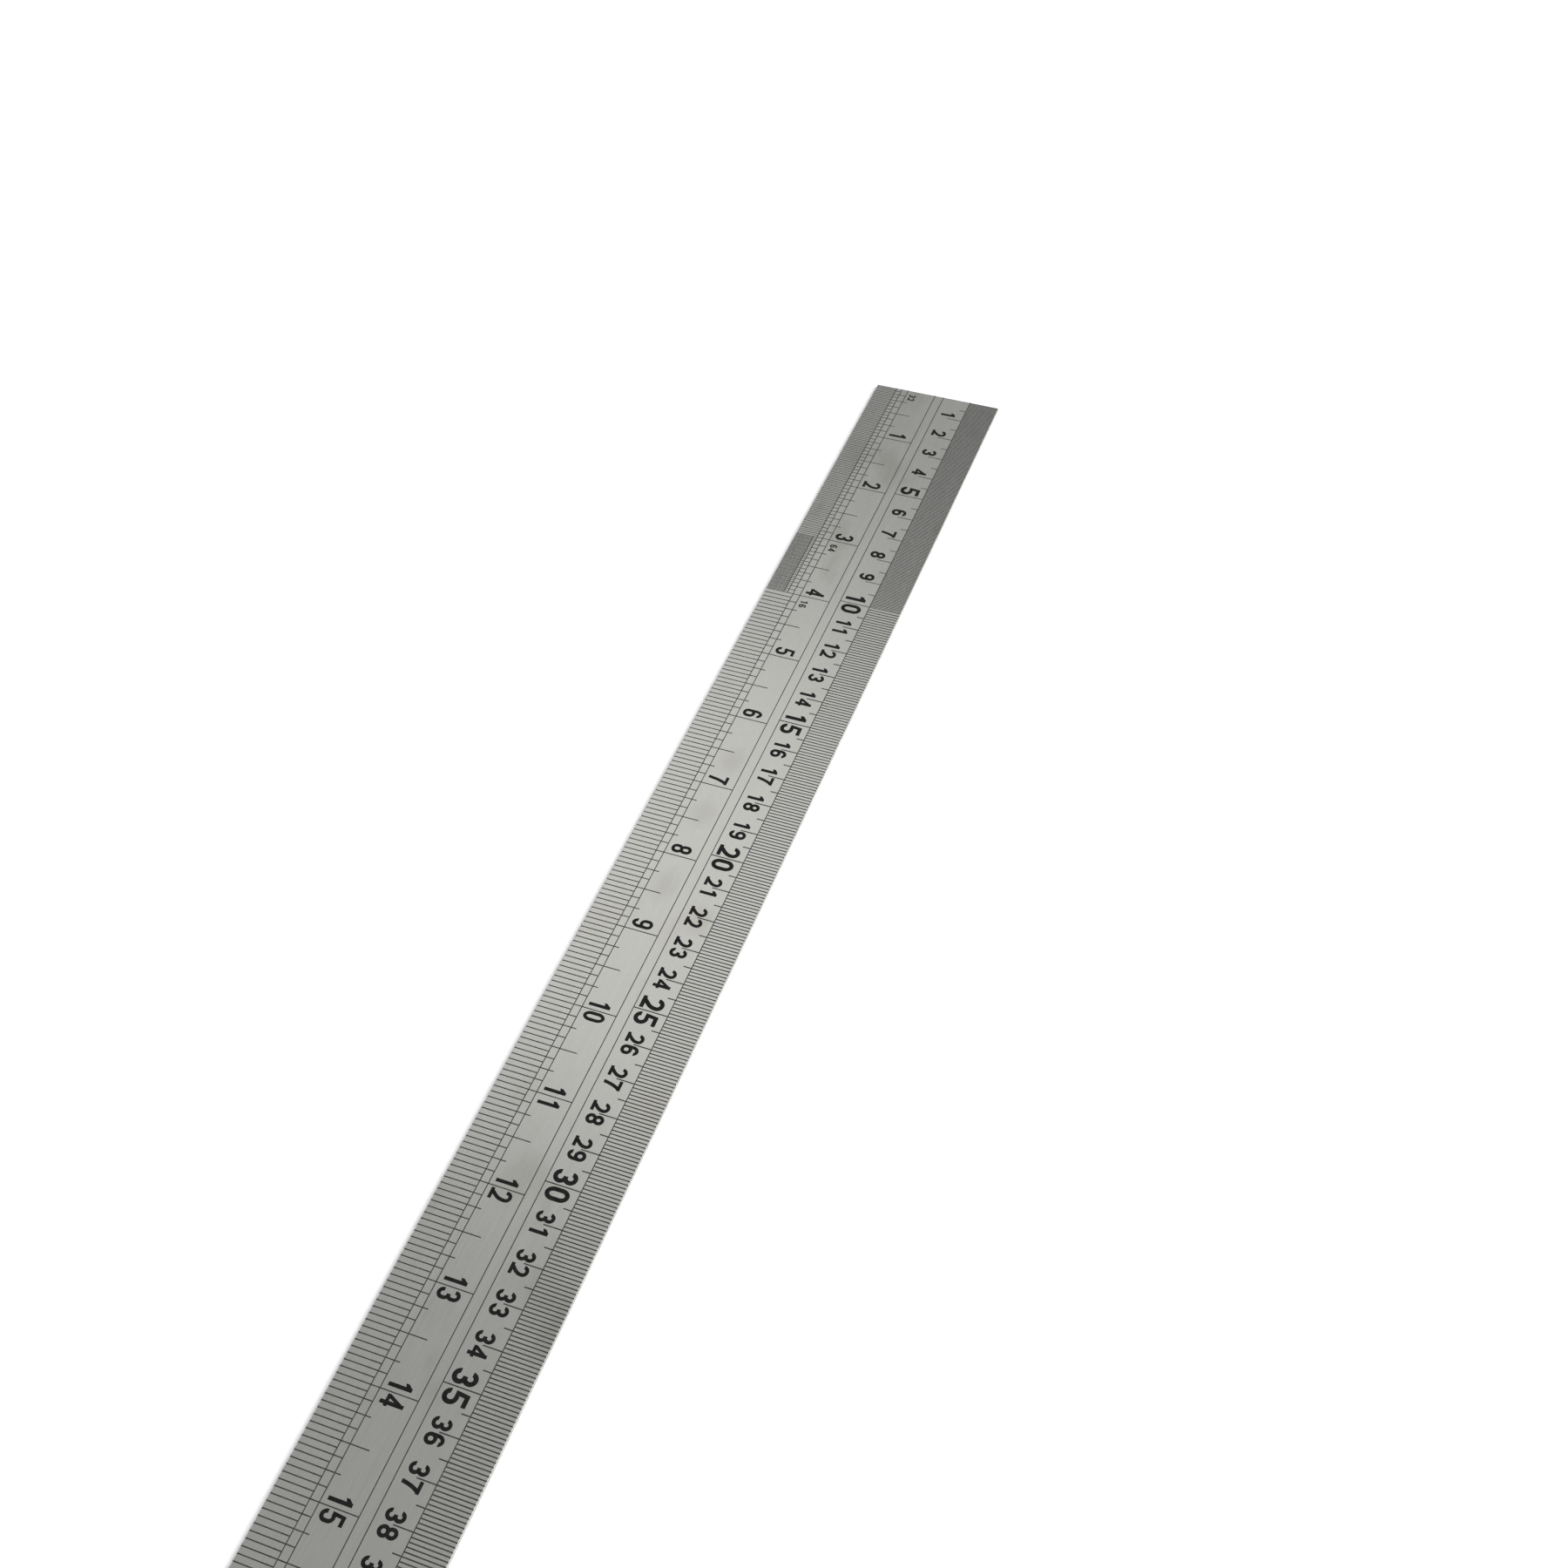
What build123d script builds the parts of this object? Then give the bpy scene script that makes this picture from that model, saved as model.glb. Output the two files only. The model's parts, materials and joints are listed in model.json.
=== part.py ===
"""Steel rule with etched metric and inch scales, filled with black enamel.

The frame has its origin at the zero end, on the blade's centreline and on its back face.
+X runs along the scales, +Y points at the metric edge and +Z out of the graduated face.
All sizes are in millimetres.
"""

import os

from build123d import *

os.makedirs("parts", exist_ok=True)

# ---------------------------------------------------------------- driving sizes

scale_length = 1000.0  # zero end to the last metric line
tail_length = 30.0  # plain steel past the scales, which holds the hanging hole
blade_thickness = 1.5
edge_radius = 0.15  # deburred long edges
tail_corner_radius = 10.0
hang_hole_radius = 3.5
hang_hole_inset = 13.0  # far end to the hole's centre

# Bands across the blade, each measured between the centres of its border lines
sixteenth_band = 8.2  # inch edge to the line where the sixteenths end
eighth_band = 2.1  # only eighths and longer lines cross it
plain_band = 2.8  # between the two scales
millimetre_band = 9.15  # metric edge to the line where the millimetres end

# Finer lines over the first stretch of each scale
sixty_fourth_band = 5.3
thirty_second_band = 6.46
thirty_second_inches = 4  # the first inches that hold thirty-seconds
sixty_fourth_inch = 3  # the inch mark where the inch of sixty-fourths starts
half_millimetre_length = 100.0

# Etched lines. The enamel is a thin film on the face, with flat sides.
enamel_thickness = 0.03
border_line_width = 0.22
millimetre_line_width = 0.28
fine_metric_line_width = 0.2  # among the half millimetres
sixteenth_line_width = 0.25
fine_inch_line_width = 0.2  # among the thirty-seconds
thirty_second_line_width = 0.16
sixty_fourth_line_width = 0.12

# How far the longer lines reach into the numeral bands
half_centimetre_reach = 1.96
centimetre_reach = 4.45
quarter_inch_reach = 1.24
half_inch_reach = 4.31

one_stem_share = 0.12  # the stem of a one stands this share of its width right of centre

# Figures: the size of one digit, the gap from its line to each of two digits that stand
# astride it, and the gap to the line of a digit that stands alone
small_digit = dict(height=4.5, width=2.7, stroke=0.85, line_gap=0.4, lone_gap=0.65)
large_digit = dict(height=5.87, width=3.5, stroke=1.08, line_gap=0.55, lone_gap=0.75)
inch_digit = dict(height=5.47, width=2.75, stroke=0.87, line_gap=0.465, lone_gap=0.975)
hundreds_gap = 0.3  # between the leading one of a hundred or more and the next digit
small_digit_drop = 2.57  # millimetre border to the top of a small figure
large_digit_drop = 1.87
large_digit_foot = 1.06  # foot of a large figure to the next border
inch_digit_rise = 1.2  # eighth border to the foot of an inch figure
inch_digit_headroom = 2.28  # top of an inch figure to the next border
label_height = 2.2
label_pitch = 1.7
label_rise = 1.05  # eighth border to the foot of a fraction label
label_inset = 1.9  # zero end to the first fraction label
label_offset = 1.6  # inch line to the other fraction labels

inch = 25.4
centimetre = 10.0
large_numeral_step = 5  # every fifth centimetre has a large numeral
no_large_numerals_from = 100  # three large figures don't fit between the half centimetres
numerals_per_group = 10  # centimetre numerals in one node
inches_per_group = 4  # inch numerals in one node

# ---------------------------------------------------------------- derived places

blade_length = scale_length + tail_length
inch_numeral_band = inch_digit_rise + inch_digit["height"] + inch_digit_headroom
centimetre_numeral_band = large_digit_drop + large_digit["height"] + large_digit_foot
inch_edge_y = -(
    sixteenth_band
    + eighth_band
    + inch_numeral_band
    + plain_band
    + centimetre_numeral_band
    + millimetre_band
) / 2
metric_edge_y = -inch_edge_y
blade_width = metric_edge_y - inch_edge_y
sixty_fourth_line_y = inch_edge_y + sixty_fourth_band
thirty_second_line_y = inch_edge_y + thirty_second_band
sixteenth_line_y = inch_edge_y + sixteenth_band
eighth_line_y = sixteenth_line_y + eighth_band
inch_border_y = eighth_line_y + inch_numeral_band
centimetre_border_y = inch_border_y + plain_band
millimetre_line_y = centimetre_border_y + centimetre_numeral_band

millimetres = int(scale_length)
centimetres = int(scale_length // centimetre)
sixteenths = int((scale_length - border_line_width) // (inch / 16))
inches = sixteenths // 16
half_border = border_line_width / 2
face = Plane.XY.offset(blade_thickness)


def finish(builder, name):
    """Label a finished sub-part and write it to its own STEP file."""
    builder.part.label = name
    export_step(builder.part, f"parts/{name}.step", write_pcurves=False)


# ---------------------------------------------------------------- blade

with BuildPart() as blade:
    with BuildSketch():
        with Locations((blade_length / 2, 0)):
            Rectangle(blade_length, blade_width)
        tail_corners = vertices().group_by(Axis.X)[-1]
        fillet(tail_corners, radius=tail_corner_radius)
        with Locations((blade_length - hang_hole_inset, 0)):
            Circle(hang_hole_radius, mode=Mode.SUBTRACT)
    extrude(amount=blade_thickness)
    long_edges = edges().filter_by(Axis.X)
    fillet(long_edges, radius=edge_radius)
finish(blade, "blade")

# ---------------------------------------------------------------- border lines


def border_line(x_start, x_end, y):
    """Sketch one line along the blade, centred on y."""
    with Locations(((x_start + x_end) / 2, y)):
        Rectangle(x_end - x_start, border_line_width)


sixty_fourths_start = sixty_fourth_inch * inch
thirty_seconds_end = thirty_second_inches * inch

with BuildPart() as metric_border_lines:
    with BuildSketch(face):
        border_line(0, scale_length + half_border, millimetre_line_y)
        border_line(0, scale_length + half_border, centimetre_border_y)
    extrude(amount=enamel_thickness)
finish(metric_border_lines, "metric_border_lines")

with BuildPart() as inch_border_lines:
    with BuildSketch(face):
        for line_y in (sixteenth_line_y, eighth_line_y, inch_border_y):
            border_line(0, scale_length + half_border, line_y)
        fine_x = thirty_seconds_end + half_border
        border_line(0, fine_x, thirty_second_line_y)
        border_line(sixty_fourths_start - half_border, fine_x, sixty_fourth_line_y)
    extrude(amount=enamel_thickness)
finish(inch_border_lines, "inch_border_lines")

# ---------------------------------------------------------------- graduations


def spans_between_borders(x, start_y, end_y):
    """Cut a graduation at x where border lines cross it, into (low, high) stretches."""
    borders = [millimetre_line_y, centimetre_border_y, sixteenth_line_y, eighth_line_y]
    borders.append(inch_border_y)
    if x <= thirty_seconds_end + half_border:
        borders.append(thirty_second_line_y)
    if sixty_fourths_start - half_border <= x <= thirty_seconds_end + half_border:
        borders.append(sixty_fourth_line_y)
    low, high = sorted((start_y, end_y))
    spans = []
    for y in sorted(borders):
        if low < y + half_border and y <= high:
            if low < y - half_border:
                spans.append((low, y - half_border))
            low = y + half_border
    if high > low:
        spans.append((low, high))
    return spans


def graduations(name, places, line_width, start_y, end_y, fine_end=0, fine_line_width=0):
    """Make one node of like graduations, each a separate stroke of enamel.

    The lines before fine_end have the fine line width.
    """
    columns = {}
    for x in places:
        width = fine_line_width if x < fine_end + half_border else line_width
        for low, high in spans_between_borders(x, start_y, end_y):
            columns.setdefault((low, high, width), []).append(x)
    with BuildPart() as strokes:
        for (low, high, width), column_places in columns.items():
            with Locations(*[(x, low, blade_thickness) for x in column_places]):
                Box(
                    width,
                    high - low,
                    enamel_thickness,
                    align=(Align.CENTER, Align.MIN, Align.MIN),
                )
    finish(strokes, name)


def steps(first, last, stride, size):
    """List the places first, first + stride, ... up to last, each times size."""
    return [count * size for count in range(first, last + 1, stride)]


# The metric scale reads from the +Y edge. Its lines start where the edge rounding ends.
metric_start = metric_edge_y - edge_radius
metric_ends = {
    "millimetre_lines": millimetre_line_y,
    "half_centimetre_lines": millimetre_line_y - half_border - half_centimetre_reach,
    "centimetre_lines": millimetre_line_y - half_border - centimetre_reach,
    "five_centimetre_lines": centimetre_border_y,
}
metric_places = {name: [] for name in metric_ends}
for count in range(1, millimetres + 1):
    if count % 50 == 0:
        metric_places["five_centimetre_lines"].append(float(count))
    elif count % 10 == 0:
        metric_places["centimetre_lines"].append(float(count))
    elif count % 5 == 0:
        metric_places["half_centimetre_lines"].append(float(count))
    else:
        metric_places["millimetre_lines"].append(float(count))
for name, places in metric_places.items():
    graduations(
        name,
        places,
        millimetre_line_width,
        metric_start,
        metric_ends[name],
        half_millimetre_length,
        fine_metric_line_width,
    )

half_millimetre_places = [count - 0.5 for count in range(1, int(half_millimetre_length) + 1)]
graduations(
    "half_millimetre_lines",
    half_millimetre_places,
    fine_metric_line_width,
    metric_start,
    millimetre_line_y,
)

# The inch scale reads from the -Y edge. A line belongs to the coarsest division it marks.
inch_start = inch_edge_y + edge_radius
inch_border_top = eighth_line_y + half_border
inch_divisions = [  # name, first sixteenth, stride in sixteenths, where the lines end
    ("inch_lines", 16, 16, inch_border_y),
    ("half_inch_lines", 8, 16, inch_border_top + half_inch_reach),
    ("quarter_inch_lines", 4, 8, inch_border_top + quarter_inch_reach),
    ("eighth_inch_lines", 2, 4, eighth_line_y),
    ("sixteenth_inch_lines", 1, 2, sixteenth_line_y),
]
for name, first, stride, end_y in inch_divisions:
    graduations(
        name,
        steps(first, sixteenths, stride, inch / 16),
        sixteenth_line_width,
        inch_start,
        end_y,
        thirty_seconds_end,
        fine_inch_line_width,
    )
graduations(
    "thirty_second_inch_lines",
    steps(1, thirty_second_inches * 32, 2, inch / 32),
    thirty_second_line_width,
    inch_start,
    thirty_second_line_y,
)
graduations(
    "sixty_fourth_inch_lines",
    steps(sixty_fourth_inch * 64 + 1, thirty_second_inches * 64, 2, inch / 64),
    sixty_fourth_line_width,
    inch_start,
    sixty_fourth_line_y,
)

# ---------------------------------------------------------------- numerals


def ring(width, height, stroke, y):
    """Sketch an upright oval loop of one stroke, standing on y."""
    cap = min(height / 2, max(width / 2, 0.36 * height))
    side = height - 2 * cap
    for inset, mode in ((0, Mode.ADD), (stroke, Mode.SUBTRACT)):
        with Locations((0, y + cap), (0, y + height - cap)):
            Ellipse(width / 2 - inset, cap - inset, mode=mode)
        if side > 0:
            with Locations((0, y + height / 2)):
                Rectangle(width - 2 * inset, side, mode=mode)


def bar(x, y, width, height):
    """Sketch a straight stroke by its lower left corner."""
    with Locations((x, y)):
        Rectangle(width, height, align=(Align.MIN, Align.MIN))


def cut(x_low, x_high, y_low, y_high):
    """Open a loop by cutting away a rectangle."""
    with Locations(((x_low + x_high) / 2, (y_low + y_high) / 2)):
        Rectangle(x_high - x_low, y_high - y_low, mode=Mode.SUBTRACT)


def draw_zero(width, height, stroke):
    ring(width, height, stroke, 0)


def draw_one(width, height, stroke):
    stem_x = one_stem_share * width
    foot_of_flag = 0.66 * height
    bar(stem_x - stroke / 2, 0, stroke, height)
    with BuildLine() as outline:
        Polyline(
            (stem_x + stroke / 2, height),
            (stem_x - 0.3 * stroke, height),
            (stem_x - 0.42 * width, foot_of_flag + 0.9 * stroke),
            (stem_x - 0.42 * width, foot_of_flag),
            (stem_x, foot_of_flag + 0.55 * stroke),
            close=True,
        )
    make_face(outline.edges())


def draw_two(width, height, stroke):
    loop_height = 0.62 * height
    leg_y = height - loop_height / 2
    side = (width - stroke) / 2
    ring(width, loop_height, stroke, height - loop_height)
    cut(-width / 2, width / 2, height - loop_height, leg_y)
    cut(-width / 2, -0.02 * width, leg_y, 0.7 * height)
    bar(-width / 2, 0, width, 0.95 * stroke)
    with BuildLine() as leg:
        Spline((side, leg_y), (-0.8 * side, 0.3 * stroke), tangents=[(0, -1), (-0.6, -1)])
    trace(leg.edges(), line_width=stroke)


def draw_three(width, height, stroke):
    half = (height + stroke) / 2
    ring(width, half, stroke, 0)
    ring(0.94 * width, half, stroke, height - half)
    cut(-width / 2, -0.08 * width, 0.27 * height, 0.73 * height)


def draw_four(width, height, stroke):
    stem_x = 0.2 * width
    bar_y = 0.2 * height
    slant_top = stem_x - 0.2 * stroke
    slant_rise = height - bar_y - 0.8 * stroke
    slope = slant_rise / (slant_top + width / 2)
    slant_width = 0.98 * stroke
    bar(stem_x - stroke / 2, 0, stroke, height)
    bar(-width / 2, bar_y, width, 0.9 * stroke)
    with BuildLine() as outline:
        Polyline(
            (-width / 2, bar_y + 0.5 * stroke),
            (-width / 2, bar_y + 0.8 * stroke),
            (slant_top, height),
            (stem_x, height),
            (stem_x, height - slope * slant_width * 0.8),
            (-width / 2 + slant_width, bar_y + 0.8 * stroke),
            (-width / 2 + slant_width, bar_y + 0.5 * stroke),
            close=True,
        )
    make_face(outline.edges())


def draw_five(width, height, stroke):
    ring(width, 0.63 * height, stroke, 0)
    cut(-width / 2, -0.02 * width, 0.27 * height, 0.45 * height)
    bar(-0.36 * width, height - 0.95 * stroke, 0.82 * width, 0.95 * stroke)
    with BuildLine() as outline:
        Polyline(
            (-0.36 * width, height),
            (-0.36 * width + 0.85 * stroke, height),
            (-0.46 * width + 0.95 * stroke, 0.5 * height),
            (-0.46 * width + 0.85 * stroke, 0.45 * height),
            (-0.46 * width, 0.45 * height),
            close=True,
        )
    make_face(outline.edges())


def draw_six(width, height, stroke):
    ring(width, height, stroke, 0)
    cut(0, width / 2, 0.3 * height, 0.76 * height)
    ring(width, 0.63 * height, stroke, 0)


def draw_seven(width, height, stroke):
    bar(-width / 2, height - 0.95 * stroke, width, 0.95 * stroke)
    with BuildLine() as leg:
        Spline(
            (width / 2 - 0.55 * stroke, height - 0.5 * stroke),
            (-0.14 * width, -0.3 * stroke),
            tangents=[(-0.65, -1), (-0.12, -1)],
        )
    trace(leg.edges(), line_width=stroke)


def draw_eight(width, height, stroke):
    waist = 0.5 * (height + stroke)
    ring(width, waist, stroke, 0)
    ring(0.94 * width, height - waist + stroke, stroke, waist - stroke)


drawings = [
    draw_zero,
    draw_one,
    draw_two,
    draw_three,
    draw_four,
    draw_five,
    draw_six,
    draw_seven,
    draw_eight,
]


def digit_sketch(digit, style):
    """Draw one digit standing on y = 0, centred on x = 0 and cut square to its own box."""
    width, height, stroke = style["width"], style["height"], style["stroke"]
    with BuildSketch() as glyph:
        drawings[6 if digit == 9 else digit](width, height, stroke)
        with Locations((0, height / 2)):
            Rectangle(width, height, mode=Mode.INTERSECT)
    if digit == 9:
        return glyph.sketch.rotate(Axis.Z, 180).translate((0, height, 0))
    return glyph.sketch


def digit_set(style):
    """Draw the ten digits of one size."""
    return [digit_sketch(digit, style) for digit in range(10)]


def digit_places(number, style):
    """Pair each digit of a number with its centre, measured from the number's line."""
    text = str(number)
    half_width = style["width"] / 2
    if len(text) == 1:
        return [(int(text), -half_width - style["lone_gap"])]
    beside_line = half_width + style["line_gap"]
    places = [(int(text[-2]), -beside_line), (int(text[-1]), beside_line)]
    if len(text) == 3:  # the leading one is narrow, so it is set close by its stem
        stem_reach = one_stem_share * style["width"] + style["stroke"] / 2
        next_digit_edge = -beside_line - half_width
        places.append((int(text[0]), next_digit_edge - hundreds_gap - stem_reach))
    return places


def add_number(number, x, foot_y, style, digits):
    """Sketch a number about the line at x."""
    for digit, offset in digit_places(number, style):
        with Locations((x + offset, foot_y)):
            add(digits[digit])


small_digits = digit_set(small_digit)
large_digits = digit_set(large_digit)
inch_digits = digit_set(inch_digit)

for first in range(1, centimetres + 1, numerals_per_group):
    last = min(first + numerals_per_group - 1, centimetres)
    with BuildPart() as centimetre_numerals:
        with BuildSketch(face):
            for number in range(first, last + 1):
                style, digits, drop = small_digit, small_digits, small_digit_drop
                if number % large_numeral_step == 0 and number < no_large_numerals_from:
                    style, digits, drop = large_digit, large_digits, large_digit_drop
                foot_y = millimetre_line_y - drop - style["height"]
                add_number(number, number * centimetre, foot_y, style, digits)
        extrude(amount=enamel_thickness)
    finish(centimetre_numerals, f"centimetre_numerals_from_{first}")

for first in range(1, inches + 1, inches_per_group):
    last = min(first + inches_per_group - 1, inches)
    with BuildPart() as inch_numerals:
        with BuildSketch(face):
            for number in range(first, last + 1):
                foot_y = eighth_line_y + inch_digit_rise
                add_number(number, number * inch, foot_y, inch_digit, inch_digits)
        extrude(amount=enamel_thickness)
    finish(inch_numerals, f"inch_numerals_from_{first}")

# Small figures that name the finest division of each stretch of the inch scale
labels = [
    ("32", label_inset),
    ("64", sixty_fourth_inch * inch + label_offset),
    ("16", thirty_second_inches * inch + label_offset),
]
label_foot_y = eighth_line_y + label_rise
label_scale = label_height / small_digit["height"]
label_digits = [scale(digit, by=label_scale, mode=Mode.PRIVATE) for digit in small_digits]
with BuildPart() as fraction_labels:
    with BuildSketch(face):
        for text, left_x in labels:
            for order, digit in enumerate(text):
                with Locations((left_x + label_pitch * (order + 0.4), label_foot_y)):
                    add(label_digits[int(digit)])
    extrude(amount=enamel_thickness)
finish(fraction_labels, "fraction_labels")
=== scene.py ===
"""Looks of the etched steel rule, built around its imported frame.

The rule lies on its back face along +X, zero end at the origin, metric edge towards +Y.
"""

import json
import math

import bpy
from mathutils import Matrix, Vector


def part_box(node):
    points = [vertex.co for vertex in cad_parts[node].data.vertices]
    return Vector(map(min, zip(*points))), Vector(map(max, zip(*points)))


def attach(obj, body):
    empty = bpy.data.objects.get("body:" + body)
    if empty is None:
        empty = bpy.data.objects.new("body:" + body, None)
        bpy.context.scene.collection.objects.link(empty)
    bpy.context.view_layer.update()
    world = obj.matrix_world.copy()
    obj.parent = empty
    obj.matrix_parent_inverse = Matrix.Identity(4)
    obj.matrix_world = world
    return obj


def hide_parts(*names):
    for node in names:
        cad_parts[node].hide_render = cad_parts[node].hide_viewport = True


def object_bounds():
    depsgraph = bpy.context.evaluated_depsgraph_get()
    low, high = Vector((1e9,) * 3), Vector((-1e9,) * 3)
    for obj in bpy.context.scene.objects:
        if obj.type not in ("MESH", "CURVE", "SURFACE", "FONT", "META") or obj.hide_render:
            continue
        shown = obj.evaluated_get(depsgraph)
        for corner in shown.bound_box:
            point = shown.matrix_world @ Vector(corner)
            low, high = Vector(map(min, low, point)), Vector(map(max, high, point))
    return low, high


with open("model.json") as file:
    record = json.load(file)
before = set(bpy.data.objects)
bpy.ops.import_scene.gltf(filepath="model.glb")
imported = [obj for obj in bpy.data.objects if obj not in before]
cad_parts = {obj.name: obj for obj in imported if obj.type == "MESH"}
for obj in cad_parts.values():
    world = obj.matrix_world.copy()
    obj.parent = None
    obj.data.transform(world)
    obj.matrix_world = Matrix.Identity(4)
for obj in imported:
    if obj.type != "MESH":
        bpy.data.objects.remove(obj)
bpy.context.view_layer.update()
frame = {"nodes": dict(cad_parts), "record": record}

# ---------------------------------------------------------------- the blade
# One strip of rolled stainless steel, sheared and ground to width, square at the zero end
# and rounded at the hanging end. Its edges are deburred, and its faces are satin finished by
# a belt that runs along the strip, which leaves fine lengthwise lines.

MM = 0.001
blade_low, blade_high = (Vector(corner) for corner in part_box("blade"))
blade_thickness = blade_high.z - blade_low.z
hang_hole = next(m for m in frame["record"]["mounts"] if m["name"] == "hang_hole")
hang_hole_centre = Vector(hang_hole["pos_m"])
hang_hole_radius = hang_hole["dims"]["r_mm"] * MM
tail_corner_radius = 10 * MM
edge_radius = 0.15 * MM
corner_steps = 24
hole_steps = 72

# faint thumb marks on the face: place along and across, length and width, in millimetres
thumb_marks = [
    (168, -4.6, 6.5, 4.6),
    (187.5, -5.0, 6.5, 4.4),
    (213, -5.2, 7.5, 4.4),
    (221, 8.0, 6.0, 4.0),
    (302, -3.5, 9.0, 5.5),
    (604, 5.0, 11.0, 7.0),
    (823, -7.0, 10.0, 6.0),
]


def arc_points(centre_x, centre_y, radius, start, end, steps):
    """List points on a round stretch of an outline."""
    points = []
    for step in range(steps + 1):
        angle = start + (end - start) * step / steps
        points.append((centre_x + radius * math.cos(angle), centre_y + radius * math.sin(angle)))
    return points


def closed_line(curve, points):
    """Add one closed outline to a flat curve."""
    spline = curve.splines.new("POLY")
    spline.points.add(len(points) - 1)
    for point, (x, y) in zip(spline.points, points):
        point.co = (x, y, 0, 1)
    spline.use_cyclic_u = True


def blade_outline():
    """Trace the strip: square corners at zero, round corners at the tail."""
    corner = tail_corner_radius
    tail_x = blade_high.x - corner
    quarter = math.pi / 2
    points = [(blade_low.x, blade_high.y), (blade_low.x, blade_low.y)]
    points += arc_points(tail_x, blade_low.y + corner, corner, -quarter, 0, corner_steps)
    points += arc_points(tail_x, blade_high.y - corner, corner, 0, quarter, corner_steps)
    return points


def hole_outline():
    """Trace the hanging hole once round."""
    x, y = hang_hole_centre.x, hang_hole_centre.y
    return arc_points(x, y, hang_hole_radius, 0, math.tau, hole_steps)[:-1]


def make_blade():
    """Cut the strip from its outline, with deburred edges and the hanging hole."""
    curve = bpy.data.curves.new("blade_outline", "CURVE")
    curve.dimensions = "2D"
    curve.fill_mode = "BOTH"
    closed_line(curve, blade_outline())
    closed_line(curve, hole_outline())
    curve.extrude = blade_thickness / 2 - edge_radius
    curve.bevel_depth = edge_radius
    curve.bevel_resolution = 3
    curve.offset = -edge_radius
    shape = bpy.data.objects.new("blade_outline", curve)
    bpy.context.collection.objects.link(shape)
    bpy.context.view_layer.update()
    finished = shape.evaluated_get(bpy.context.evaluated_depsgraph_get())
    mesh = bpy.data.meshes.new_from_object(finished)
    bpy.data.objects.remove(shape)
    mesh.transform(Matrix.Translation((0, 0, blade_low.z + blade_thickness / 2)))
    blade = bpy.data.objects.new("blade_strip", mesh)
    bpy.context.collection.objects.link(blade)
    return blade


def wire(tree, source, target):
    """Join one node's output to another's input."""
    tree.links.new(source, target)


def stretched_noise(tree, scale, detail, roughness=0.5):
    """Make noise in the object's own metres, drawn out by a different scale on each axis."""
    place = tree.nodes.new("ShaderNodeTexCoord")
    stretch = tree.nodes.new("ShaderNodeMapping")
    stretch.inputs["Scale"].default_value = scale
    noise = tree.nodes.new("ShaderNodeTexNoise")
    noise.inputs["Scale"].default_value = 1.0
    noise.inputs["Detail"].default_value = detail
    noise.inputs["Roughness"].default_value = roughness
    wire(tree, place.outputs["Object"], stretch.inputs["Vector"])
    wire(tree, stretch.outputs["Vector"], noise.inputs["Vector"])
    return noise.outputs["Fac"]


def ramp(tree, value, *stops):
    """Turn a 0 to 1 value into grey levels or colours at the given stops."""
    node = tree.nodes.new("ShaderNodeValToRGB")
    while len(node.color_ramp.elements) < len(stops):
        node.color_ramp.elements.new(0.5)
    for element, (place, colour) in zip(node.color_ramp.elements, stops):
        element.position = place
        element.color = colour if len(colour) == 4 else (*colour, 1)
    wire(tree, value, node.inputs["Fac"])
    return node.outputs["Color"]


def multiply(tree, first, second):
    """Multiply two colours, channel by channel."""
    node = tree.nodes.new("ShaderNodeMix")
    node.data_type = "RGBA"
    node.blend_type = "MULTIPLY"
    node.inputs["Factor"].default_value = 1.0
    wire(tree, first, node.inputs["A"])
    wire(tree, second, node.inputs["B"])
    return node.outputs["Result"]


def grey(level):
    """Name a neutral colour by its one level."""
    return (level, level, level)


def soft_spot(tree, x, y, length, width):
    """Make a value that fades from 1 at a place on the face to 0 at its rim, in millimetres."""
    place = tree.nodes.new("ShaderNodeTexCoord")
    shrink = tree.nodes.new("ShaderNodeMapping")
    scale = Vector((1 / (length * MM), 1 / (width * MM), 1 / (length * MM)))
    centre = Vector((x * MM, y * MM, blade_high.z))
    shrink.inputs["Scale"].default_value = scale
    shrink.inputs["Location"].default_value = -scale * centre
    spot = tree.nodes.new("ShaderNodeTexGradient")
    spot.gradient_type = "SPHERICAL"
    wire(tree, place.outputs["Object"], shrink.inputs["Vector"])
    wire(tree, shrink.outputs["Vector"], spot.inputs["Vector"])
    return spot.outputs["Fac"]


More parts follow.
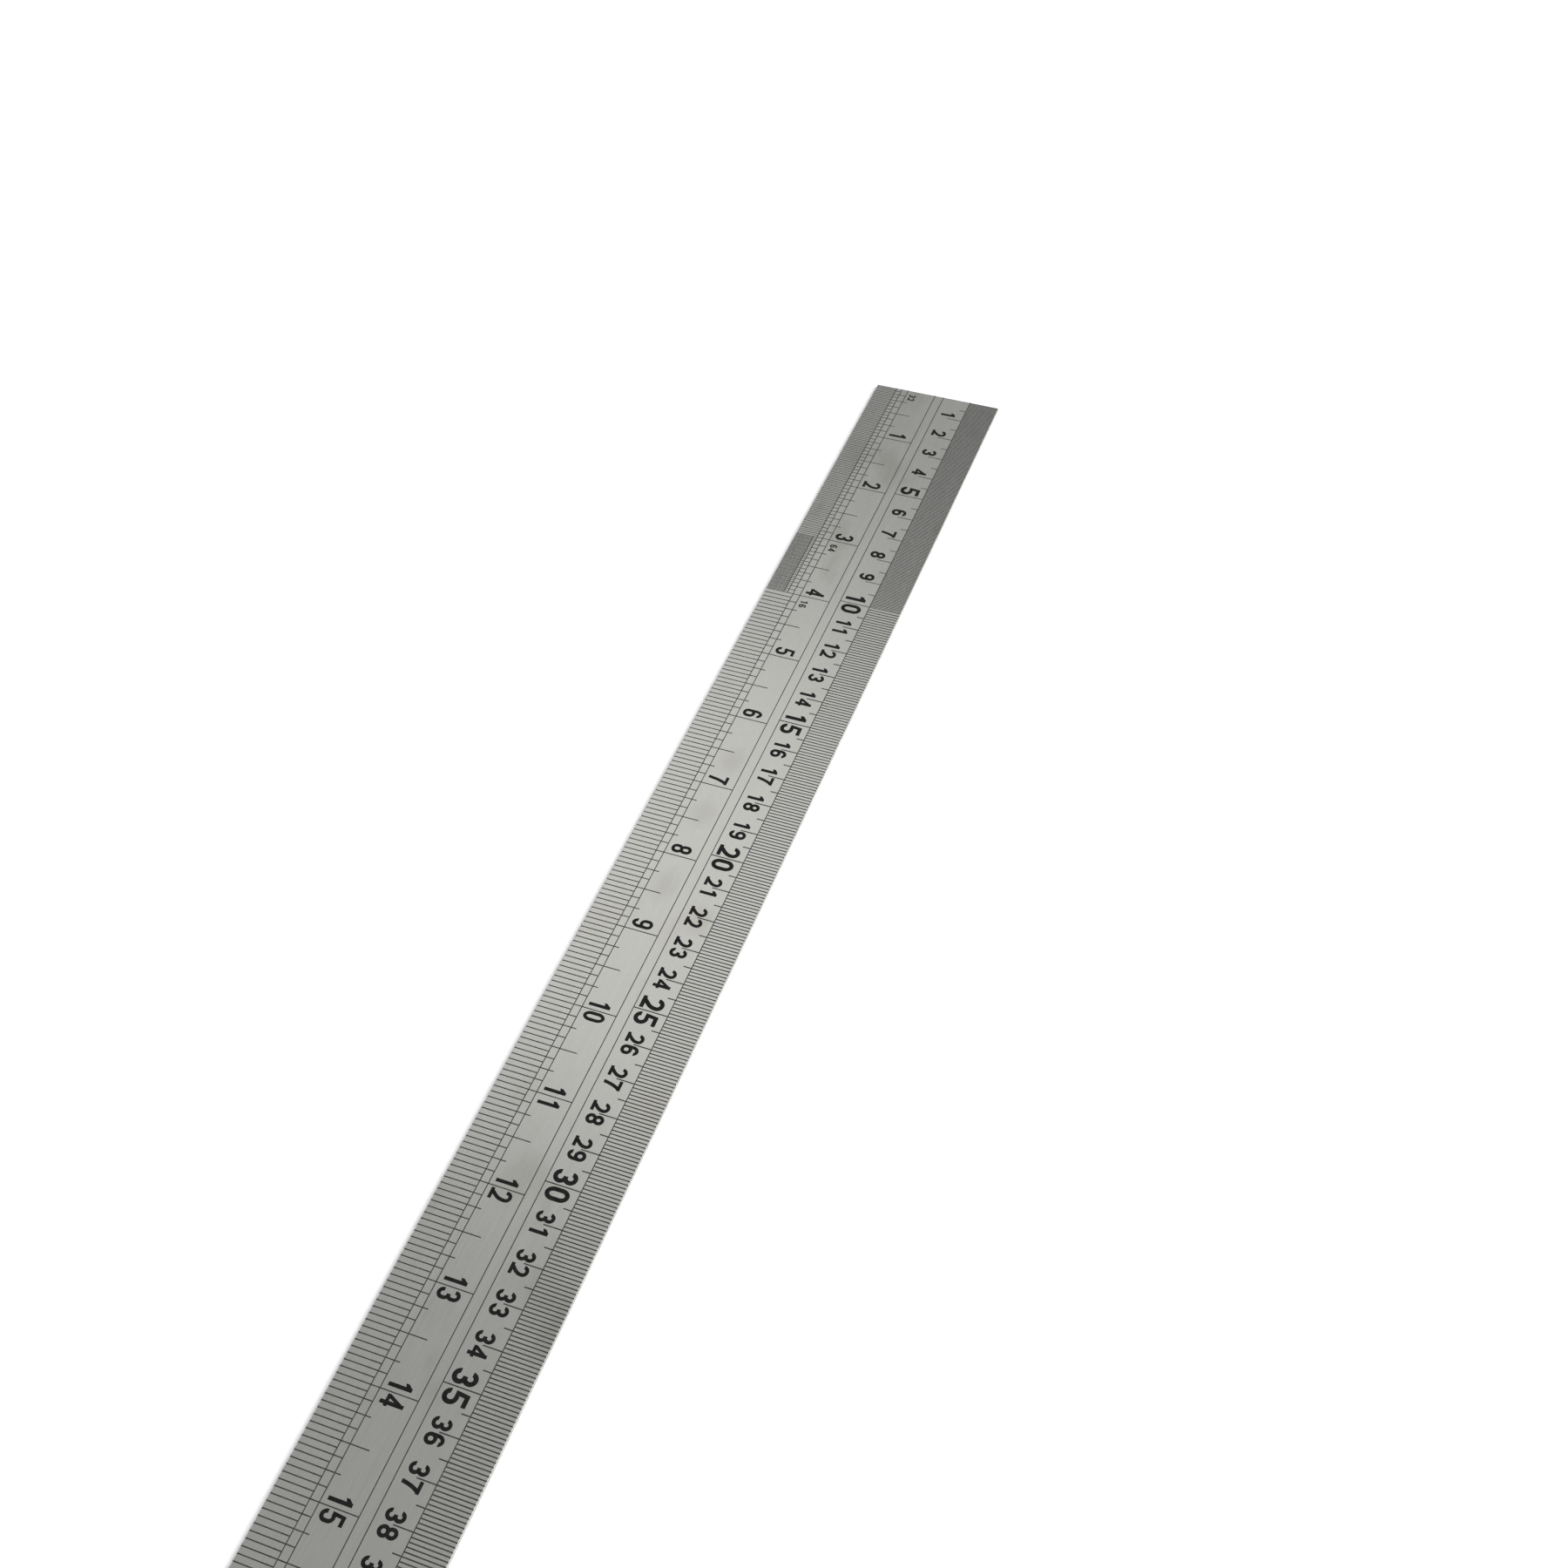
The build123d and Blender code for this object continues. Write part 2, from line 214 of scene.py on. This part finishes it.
def satin_steel():
    """Belt-finished stainless: lengthwise grain, faint rolling waves and handling smudges."""
    material = bpy.data.materials.new("satin_steel")
    material.use_nodes = True
    tree = material.node_tree
    shader = tree.nodes["Principled BSDF"]
    shader.inputs["Metallic"].default_value = 1.0

    grain = stretched_noise(tree, (60, 9000, 900), 6, 0.65)
    streaks = stretched_noise(tree, (8, 1400, 400), 4, 0.6)
    clouds = stretched_noise(tree, (38, 70, 60), 3, 0.5)
    mottling = stretched_noise(tree, (420, 700, 400), 4, 0.6)

    steel = ramp(tree, grain, (0.3, (0.655, 0.648, 0.610)), (0.7, (0.705, 0.697, 0.656)))
    colour = multiply(tree, steel, ramp(tree, streaks, (0.3, grey(0.965)), (0.7, grey(1.0))))
    cloud_tint = ramp(tree, clouds, (0.56, grey(1.0)), (0.72, (0.925, 0.915, 0.895)))
    colour = multiply(tree, colour, cloud_tint)
    colour = multiply(tree, colour, ramp(tree, mottling, (0.3, grey(0.97)), (0.7, grey(1.0))))
    for x, y, length, width in thumb_marks:
        mark = soft_spot(tree, x, y, length, width)
        mark_tint = ramp(tree, mark, (0.0, grey(1.0)), (0.8, (0.90, 0.90, 0.875)))
        colour = multiply(tree, colour, mark_tint)
    wire(tree, colour, shader.inputs["Base Color"])

    satin = ramp(tree, grain, (0.25, grey(0.21)), (0.75, grey(0.29)))
    greasy = ramp(tree, clouds, (0.54, grey(1.0)), (0.74, grey(0.82)))
    wire(tree, multiply(tree, satin, greasy), shader.inputs["Roughness"])

    brush = tree.nodes.new("ShaderNodeBump")
    brush.inputs["Strength"].default_value = 0.3
    brush.inputs["Distance"].default_value = 0.008 * MM
    wire(tree, grain, brush.inputs["Height"])
    waves = tree.nodes.new("ShaderNodeBump")
    waves.inputs["Strength"].default_value = 0.4
    waves.inputs["Distance"].default_value = 0.05 * MM
    wire(tree, stretched_noise(tree, (22, 60, 40), 2), waves.inputs["Height"])
    wire(tree, waves.outputs["Normal"], brush.inputs["Normal"])
    wire(tree, brush.outputs["Normal"], shader.inputs["Normal"])
    return material


steel = satin_steel()
blade = make_blade()
blade.data.materials.clear()
blade.data.materials.append(steel)
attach(blade, "root")
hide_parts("blade")

# ---------------------------------------------------------------- the etched marks
# Every line and figure is etched into the face through a resist and filled with black
# enamel, which is wiped level and baked. The broad strokes of the figures hold a deep black
# pool of it, and the narrow lines a thinner, greyer film.


def black_enamel(name, deep, thin, shine):
    """Baked enamel in etched marks: matt black, grey where it is thin, with a weak shine."""
    material = bpy.data.materials.new(name)
    material.use_nodes = True
    tree = material.node_tree
    shader = tree.nodes["Principled BSDF"]
    wear = stretched_noise(tree, (900, 900, 900), 5, 0.6)
    shader.inputs["Specular IOR Level"].default_value = shine
    colour = ramp(tree, wear, (0.35, grey(deep)), (0.7, grey(thin)))
    wire(tree, colour, shader.inputs["Base Color"])
    dryness = ramp(tree, wear, (0.3, grey(0.45)), (0.7, grey(0.62)))
    wire(tree, dryness, shader.inputs["Roughness"])
    skin = tree.nodes.new("ShaderNodeBump")
    skin.inputs["Strength"].default_value = 0.3
    skin.inputs["Distance"].default_value = 0.01 * MM
    wire(tree, wear, skin.inputs["Height"])
    wire(tree, skin.outputs["Normal"], shader.inputs["Normal"])
    return material


figure_enamel = black_enamel("figure_enamel", deep=0.003, thin=0.010, shine=0.15)
line_enamel = black_enamel("line_enamel", deep=0.012, thin=0.035, shine=0.4)
for name, node in frame["nodes"].items():
    if name != "blade":
        node.data.materials.clear()
        node.data.materials.append(line_enamel if name.endswith("_lines") else figure_enamel)

# ---------------------------------------------------------------- the line ends
# The lines are etched right across the deburred edges, so the enamel of each one turns down
# over the edge and thins out to nothing where the side face begins.


def strokes_at_edge(edge_y):
    """List the (low x, high x) of every line that starts where one long edge begins to turn."""
    start_y = edge_y - math.copysign(edge_radius, edge_y)
    strokes = []
    for name, node in frame["nodes"].items():
        if name == "blade":
            continue
        at_edge = {
            round(vertex.co.x, 6)
            for vertex in node.data.vertices
            if abs(vertex.co.y - start_y) < edge_radius / 10
        }
        sides = sorted(at_edge)
        strokes += list(zip(sides[0::2], sides[1::2]))
    return sorted(strokes)


def make_line_ends(name, edge_y):
    """Wrap each line of one scale over its edge as a thin curved skin of enamel."""
    side = math.copysign(1, edge_y)
    centre_y = edge_y - side * edge_radius
    centre_z = blade_high.z - edge_radius
    enamel_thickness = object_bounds()[1][2] - blade_high.z
    bend_steps = 5
    inner = 0.9 * edge_radius  # sunk into the steel, so no gap shows under the skin
    points, faces = [], []
    for low_x, high_x in strokes_at_edge(edge_y):
        first = len(points)
        for step in range(bend_steps + 1):
            angle = math.pi / 2 * (1 - step / bend_steps)
            outer = edge_radius + enamel_thickness * math.sin(angle)
            corners = ((inner, low_x), (inner, high_x), (outer, high_x), (outer, low_x))
            for radius, x in corners:
                y = centre_y + side * radius * math.cos(angle)
                points.append((x, y, centre_z + radius * math.sin(angle)))
        for step in range(bend_steps):
            ring = first + 4 * step
            for corner in range(4):
                after = (corner + 1) % 4
                faces.append((ring + corner, ring + after, ring + 4 + after, ring + 4 + corner))
        last = first + 4 * bend_steps
        faces.append((first + 3, first + 2, first + 1, first))
        faces.append((last, last + 1, last + 2, last + 3))
    mesh = bpy.data.meshes.new(name)
    mesh.from_pydata(points, [], faces)
    if side > 0:
        mesh.flip_normals()
    mesh.materials.append(line_enamel)
    line_ends = bpy.data.objects.new(name, mesh)
    bpy.context.collection.objects.link(line_ends)
    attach(line_ends, "root")


make_line_ends("metric_line_ends", blade_high.y)
make_line_ends("inch_line_ends", blade_low.y)

# ---------------------------------------------------------------- the table
# A plain pale table top, which stops the eye nowhere.


def make_table():
    """Lay a flat top that reaches far past the rule on every side, in metres."""
    mesh = bpy.data.meshes.new("table_top")
    reach = 40.0
    corners = [(-reach, -reach, 0), (reach, -reach, 0), (reach, reach, 0), (-reach, reach, 0)]
    mesh.from_pydata(corners, [], [(0, 1, 2, 3)])
    table = bpy.data.objects.new("table_top", mesh)
    bpy.context.collection.objects.link(table)
    material = bpy.data.materials.new("white_laminate")
    material.use_nodes = True
    shader = material.node_tree.nodes["Principled BSDF"]
    shader.inputs["Base Color"].default_value = (0.86, 0.86, 0.86, 1)
    shader.inputs["Roughness"].default_value = 0.8
    shader.inputs["Specular IOR Level"].default_value = 0.1
    mesh.materials.append(material)
    return table


make_table()

# ---------------------------------------------------------------- studio light
# A pale room with one soft box, and a bank of lamps high overhead that lights the whole table
# alike. The box is hung after the camera, because its place follows from what the face mirrors.

wall_white = (1.0, 1.0, 1.0)
wall_grey = (0.405, 0.411, 0.415)


def soft_box(name, centre, aim, along, width, length, brightness):
    """Hang a rectangular soft box at centre, facing aim, its length lying along a direction."""
    light = bpy.data.lights.new(name, "AREA")
    light.shape = "RECTANGLE"
    light.size = width
    light.size_y = length
    light.energy = brightness * math.pi * width * length
    lamp = bpy.data.objects.new(name, light)
    bpy.context.collection.objects.link(lamp)
    back = (Vector(centre) - Vector(aim)).normalized()
    side = Vector(along).cross(back).normalized()
    turn = Matrix((side, back.cross(side), back)).transposed()
    lamp.matrix_world = Matrix.Translation(centre) @ turn.to_4x4()
    return lamp


def paint_room():
    """Surround the table with walls that are white at its horizon and pale grey higher up."""
    world = bpy.data.worlds.new("pale_room")
    bpy.context.scene.world = world
    world.use_nodes = True
    tree = world.node_tree
    place = tree.nodes.new("ShaderNodeTexCoord")
    height = tree.nodes.new("ShaderNodeSeparateXYZ")
    wire(tree, place.outputs["Generated"], height.inputs["Vector"])
    walls = ramp(tree, height.outputs["Z"], (0.08, wall_white), (0.3, wall_grey))
    wire(tree, walls, tree.nodes["Background"].inputs["Color"])


paint_room()

# ---------------------------------------------------------------- camera
# The view looks down the rule from its forty centimetre line towards the zero end.

camera_place = Vector((487.57, 139.91, 381.96)) * MM
camera_right = Vector((-0.34698, 0.93744, -0.02867))
camera_down = Vector((0.70498, 0.24053, -0.66720))
camera_forward = Vector((-0.61856, -0.25172, -0.74433))
lens_length = 44.684  # millimetres, on a sensor 36 millimetres wide
camera_data = bpy.data.cameras.new("camera")
camera_data.sensor_width = 36.0
camera_data.lens = lens_length
camera_data.clip_start = 0.01
camera_data.clip_end = 50
camera = bpy.data.objects.new("camera", camera_data)
bpy.context.collection.objects.link(camera)
turn = Matrix((camera_right, -camera_down, -camera_forward)).transposed()
camera.matrix_world = Matrix.Translation(camera_place) @ turn.to_4x4()
bpy.context.scene.camera = camera


def mirrored_by_face(x, distance):
    """Find the point that the face at x mirrors to the camera, a distance away."""
    spot = Vector((x, 0, blade_high.z))
    ray = (spot - camera_place).normalized()
    return spot + Vector((ray.x, ray.y, -ray.z)) * distance


def hang_mirrored_box(name, x_start, x_end, brightness):
    """Hang a soft box that fills what the face mirrors from one x to another, in millimetres."""
    distance = 1.6
    width = 1.4
    start = mirrored_by_face(x_start * MM, distance)
    end = mirrored_by_face(x_end * MM, distance)
    middle = (start + end) / 2
    aim = ((x_start + x_end) / 2 * MM, 0, 0)
    soft_box(name, middle, aim, end - start, width, (end - start).length, brightness)


hang_mirrored_box("key_box", x_start=113, x_end=288, brightness=0.47)


def hang_overhead_bank():
    """Light the table from one side, by a bank so far off that its light is even."""
    bank = bpy.data.lights.new("overhead_bank", "SUN")
    bank.energy = 3.6
    bank.angle = math.radians(47)
    lamp = bpy.data.objects.new("overhead_bank", bank)
    towards_bank = Vector((0.5, 1.3, 1.6))
    lamp.matrix_world = towards_bank.to_track_quat("Z", "Y").to_matrix().to_4x4()
    bpy.context.collection.objects.link(lamp)


hang_overhead_bank()

bpy.context.scene.view_settings.view_transform = "Standard"
